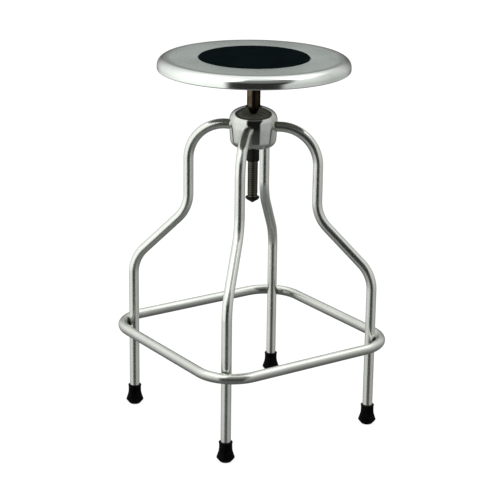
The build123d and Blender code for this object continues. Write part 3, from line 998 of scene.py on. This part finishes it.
# %% Black paint
def black_paint():
    """Black paint over steel, with an orange-peel skin."""
    finish, tree, shader = new_finish("black plate paint", Specular_IOR_Level=0.4)
    where = spot(tree)
    peel = noise(tree, where, 700.0, 2.0)
    cloud = noise(tree, where, 50.0, 5.0)
    colour = blend_of(tree, cloud, (0.048, 0.048, 0.041), (0.082, 0.081, 0.069))
    wire(tree, shader, colour, between(tree, cloud, 0.35, 0.5), peel, 0.00006)
    return finish


# %% Sizes under the seat
paint = black_paint()
plate_low, plate_high = corners_of("seat_plate")
socket_low, socket_high = corners_of("screw_socket")
pin_low, pin_high = corners_of("socket_pin")
stud_low_corner, stud_high_corner = corners_of("seat_studs")
nuts_low, nuts_high = corners_of("stud_nuts")
SEAT_STUD = 3.0 * MM
NUT_FLATS = 10.0 * MM
stud_reach = (stud_high_corner.x - SEAT_STUD) / DIAGONAL
boss_radius = pin_high.x

# %% Plate and socket
plate_outline = rounded([
    (0, plate_low.z, 0),
    (plate_high.x, plate_low.z, 1.2 * MM),
    (plate_high.x, plate_high.z, 0.4 * MM),
    (0, plate_high.z, 0),
], step=15.0)
place_turned("painted_seat_plate", plate_outline, "seat", "seat_plate", "plate_paint", paint)

socket_outline = rounded([
    (screw_radius + FIT, socket_high.z, 0),
    (socket_high.x, socket_high.z, 0.3 * MM),
    (socket_high.x, socket_high.z - 5 * MM, 1.0 * MM),
    (boss_radius, socket_high.z - 5 * MM, 3.0 * MM),
    (boss_radius, socket_low.z, 1.2 * MM),
    (sleeve_radius + FIT, socket_low.z, 0.4 * MM),
    (sleeve_radius + FIT, socket_low.z + 6 * MM, 0),
    (screw_radius + FIT, socket_low.z + 6 * MM, 0),
], closed=True, step=10.0)
place_turned("painted_screw_socket", socket_outline, "seat", "screw_socket", "plate_paint", paint,
             closed=True)

# %% Pin
pin_radius = pin_high.y
pin_height = (pin_low.z + pin_high.z) / 2
pin_outline = rounded([
    (0, -pin_high.x, 0),
    (pin_radius, -pin_high.x, 0.5 * MM),
    (pin_radius, pin_high.x, 0.5 * MM),
    (0, pin_high.x, 0),
], step=20.0)
pin_mesh = lathe("drive_pin", pin_outline, sides=32)
pin_mesh.transform(Matrix.Translation((0, 0, pin_height)) @ Matrix.Rotation(math.pi / 2, 4, "Y"))
place("drive_pin", pin_mesh, "seat", "socket_pin", "zinc_steel", zinc)


# %% A hexagon nut
def hex_nut(bm, centre, low, high, bore, flats, sides=48):
    """A hexagon nut whose corners are cut back by a cone above and below."""

    def reach(angle):
        return flats / 2 / math.cos((angle % (math.pi / 3)) - math.pi / 6)

    def ring(radius, height):
        return [point_round(bm, centre, radius(g), g, height(g)) for g in angles_round(sides)]

    def slope(angle):
        return max(reach(angle) - flats * 0.49, 0) * 0.55

    rings = [
        ring(lambda g: bore, lambda g: low),
        ring(lambda g: flats * 0.47, lambda g: low),
        ring(reach, lambda g: low + slope(g)),
        ring(reach, lambda g: high - slope(g)),
        ring(lambda g: flats * 0.47, lambda g: high),
        ring(lambda g: bore, lambda g: high),
    ]
    skin(bm, rings + rings[:1], sides)


# %% Four studs and their nuts
STUD_LEAD = 1.0 * MM
STUD_THREAD_DEPTH = 0.55 * MM
low, high = stud_low_corner.z, stud_high_corner.z
stud_tip = [(SEAT_STUD - 0.7 * MM, low), (SEAT_STUD - 0.5 * MM, low + 0.4 * MM)]
stud_root = [(SEAT_STUD - 0.1 * MM, high - 0.6 * MM), (SEAT_STUD, high)]
stud_thread = (SEAT_STUD, low + 0.5 * MM, high - 0.7 * MM)
studs, nuts = bmesh.new(), bmesh.new()
for x, y in LEGS.values():
    centre = (x * stud_reach * DIAGONAL, y * stud_reach * DIAGONAL)
    threaded_rod(studs, stud_tip, stud_root, stud_thread, STUD_LEAD, STUD_THREAD_DEPTH, centre, sides=24)
    hex_nut(nuts, centre, nuts_low.z, nuts_high.z, SEAT_STUD + FIT, NUT_FLATS)
stud_mesh = to_mesh(studs, "threaded_seat_studs", 40)
nut_mesh = to_mesh(nuts, "hexagon_stud_nuts", 25)
place("threaded_seat_studs", stud_mesh, "seat", "seat_studs", "zinc_steel", zinc)
place("hexagon_stud_nuts", nut_mesh, "seat", "stud_nuts", "zinc_steel", zinc)

# %% [markdown]
# ## Studio
# The photograph is a plain studio picture: a white floor without an edge, soft light from above and from
# both sides, and a dark room behind the camera. Polished tubes show such a room as a dark stripe between
# two bright ones. A lamp or a card at some place would move those stripes along a leg, so the surround is
# a world that depends on the direction alone, as of a very large room. The floor glows by itself and is
# only just white, so that the feet throw no shadow and thin edges keep their width. Shiny pieces don't
# mirror the floor, only the surround.

# %% Where the camera stands
CAMERA_TURN = math.radians(-34.37)
CAMERA_DISTANCE = 3.1436
CAMERA_HEIGHT = 1.3464
CAMERA_PITCH = math.radians(17.894)
CAMERA_ROLL = math.radians(0.784)
FOCAL_PIXELS = 1750.46
IMAGE_PIXELS = 500
IMAGE_SHIFT_PIXELS = 1.66
to_camera = Vector((math.sin(CAMERA_TURN), -math.cos(CAMERA_TURN), 0))
to_right = Vector((math.cos(CAMERA_TURN), math.sin(CAMERA_TURN), 0))

lens = bpy.data.cameras.new("studio camera")
lens.sensor_width = 36.0
lens.lens = FOCAL_PIXELS / IMAGE_PIXELS * lens.sensor_width
lens.shift_x = -IMAGE_SHIFT_PIXELS / IMAGE_PIXELS
camera = bpy.data.objects.new("studio camera", lens)
bpy.context.scene.collection.objects.link(camera)
camera.location = to_camera * CAMERA_DISTANCE + Vector((0, 0, CAMERA_HEIGHT))
turned = Matrix.Rotation(CAMERA_TURN, 3, "Z")
pitched = Matrix.Rotation(math.pi / 2 - CAMERA_PITCH, 3, "X")
rolled = Matrix.Rotation(CAMERA_ROLL, 3, "Z")
camera.rotation_euler = (turned @ pitched @ rolled).to_euler()
bpy.context.scene.camera = camera
print(f"camera lens {lens.lens:.1f} mm")


# %% Floor and its light
FLOOR_REACH = 14.0
floor_finish = new_finish("pale floor", Base_Color=(0.12, 0.12, 0.12, 1), Roughness=0.9,
                          Specular_IOR_Level=0.0, Emission_Color=(1, 1, 1, 1), Emission_Strength=0.9)[0]
floor_mesh = bpy.data.meshes.new("floor")
floor_corners = [(x * FLOOR_REACH, y * FLOOR_REACH, 0) for x, y in LEGS.values()]
floor_mesh.from_pydata(floor_corners, [], [(0, 1, 2, 3)])
floor_mesh.materials.append(floor_finish)
floor = bpy.data.objects.new("floor", floor_mesh)
bpy.context.scene.collection.objects.link(floor)
floor.visible_glossy = False
floor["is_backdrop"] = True

sky_panel = bpy.data.lights.new("wide top light", "SUN")
sky_panel.angle = math.radians(150)
sky_panel.energy = 1.3
sky_light = bpy.data.objects.new("wide top light", sky_panel)
bpy.context.scene.collection.objects.link(sky_light)
sky_light.visible_glossy = False
print("floor", 2 * FLOOR_REACH, "m wide")

# %% A surround that depends on the direction
# Each side of the room is a list of heights in degrees and how bright the room is there.
LEFT = ((-90, 0.18), (-50, 0.24), (-34, 0.38), (-23, 0.74), (-20, 0.98), (-16, 1.25), (-10, 1.4),
        (0, 1.45), (30, 1.5), (44, 1.7), (58, 2.3), (75, 1.8), (90, 1.25))
RIGHT = ((-90, 0.18), (-55, 0.2), (-38, 0.28), (-22, 0.51), (-16, 0.62), (-8, 0.7), (3, 0.8),
         (22, 0.92), (36, 1.0), (44, 1.5), (55, 2.4), (75, 1.8), (90, 1.25))
FRONT = ((-90, 0.18), (-50, 0.19), (-32, 0.18), (-26, 0.12), (-22, 0.055), (-17, 0.02), (-14, 0.012),
         (20, 0.012), (26, 0.05), (31, 0.19), (54, 0.2), (62, 0.42), (70, 0.72), (80, 1.0), (90, 1.25))
BACK = ((-90, 0.18), (-50, 0.2), (-20, 0.2), (6, 0.13), (10.5, 0.16), (13, 0.21), (18, 0.33),
        (23, 0.5), (30, 0.75), (42, 1.0), (55, 1.2), (70, 1.25), (90, 1.25))
SEEN_BRIGHTNESS = 1.05
studio = bpy.data.worlds.new("studio")
studio.use_nodes = True
tree = studio.node_tree
heading = tree.nodes.new("ShaderNodeTexCoord").outputs["Generated"]
rise = arithmetic(tree, "ARCSINE", upward_part(tree, heading))
share = between(tree, rise, 0.0, 1.0, -math.pi / 2, math.pi / 2)


# %% Brightness by height, and fading by angle
def wall_of_light(stops):
    """Brightness by height for one side of the room."""
    ramp = tree.nodes.new("ShaderNodeValToRGB")
    tree.links.new(share, ramp.inputs[0])
    elements = ramp.color_ramp.elements
    elements[0].color = (*[stops[0][1]] * 3, 1)
    elements[1].color = (*[stops[-1][1]] * 3, 1)
    for height, brightness in stops[1:-1]:
        elements.new((height + 90) / 180).color = (*[brightness] * 3, 1)
    return ramp.outputs[0]


def fade(value, first, last, start, end):
    """From first to last while an angle goes from start to end, in degrees."""
    return between(tree, value, first, last, math.radians(start), math.radians(end))


# %% Mix the sides of the room by direction
# The bearing is 0 towards the camera and grows to the right.
to_the_right = measure(tree, "DOT_PRODUCT", heading, to_right)
to_the_front = measure(tree, "DOT_PRODUCT", heading, to_camera)
bearing = arithmetic(tree, "ARCTAN2", to_the_right, to_the_front)
sides_of_room = fade(bearing, wall_of_light(LEFT), wall_of_light(RIGHT), -20, 20)

# Both sides are dimmer towards the back, the left one more.
right_dimming = fade(bearing, 1.0, 0.8, 80, 105)
dimming = fade(bearing, 0.62, right_dimming, -140, -90)
shaded = arithmetic(tree, "MULTIPLY", sides_of_room, dimming)
turned_away = arithmetic(tree, "ABSOLUTE", arithmetic(tree, "ADD", bearing, math.radians(2)))
around = fade(turned_away, shaded, wall_of_light(BACK), 138, 166)

# The dark front leans to the right as it rises, and grows wider.
lean = fade(rise, math.radians(1), math.radians(7), 0, 22)
middle = fade(rise, lean, math.radians(22), 26, 48)
spread = fade(rise, math.radians(33), math.radians(41), 0, 25)
off_middle = arithmetic(tree, "ABSOLUTE", arithmetic(tree, "SUBTRACT", bearing, middle))
beyond = arithmetic(tree, "DIVIDE", off_middle, spread)
room = between(tree, beyond, wall_of_light(FRONT), around, 0.9, 1.1)

# %% Put the surround in place
seen = tree.nodes.new("ShaderNodeLightPath").outputs["Is Camera Ray"]
backdrop = tree.nodes["Background"]
tree.links.new(between(tree, seen, room, SEEN_BRIGHTNESS, 0.0, 1.0), backdrop.inputs["Strength"])
backdrop.inputs["Color"].default_value = (1, 1, 1, 1)
bpy.context.scene.world = studio
bpy.context.scene.view_settings.view_transform = "Standard"
levels = [level for wall in (LEFT, RIGHT, FRONT, BACK) for _, level in wall]
print("room brightness between", min(levels), "and", max(levels))

# %% [markdown]
# ## Sizes at the end
# The dressed stool keeps the imported model's size. The box round the dressed stool is measured.

# %% Measure the box of the dressed stool
low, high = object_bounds()
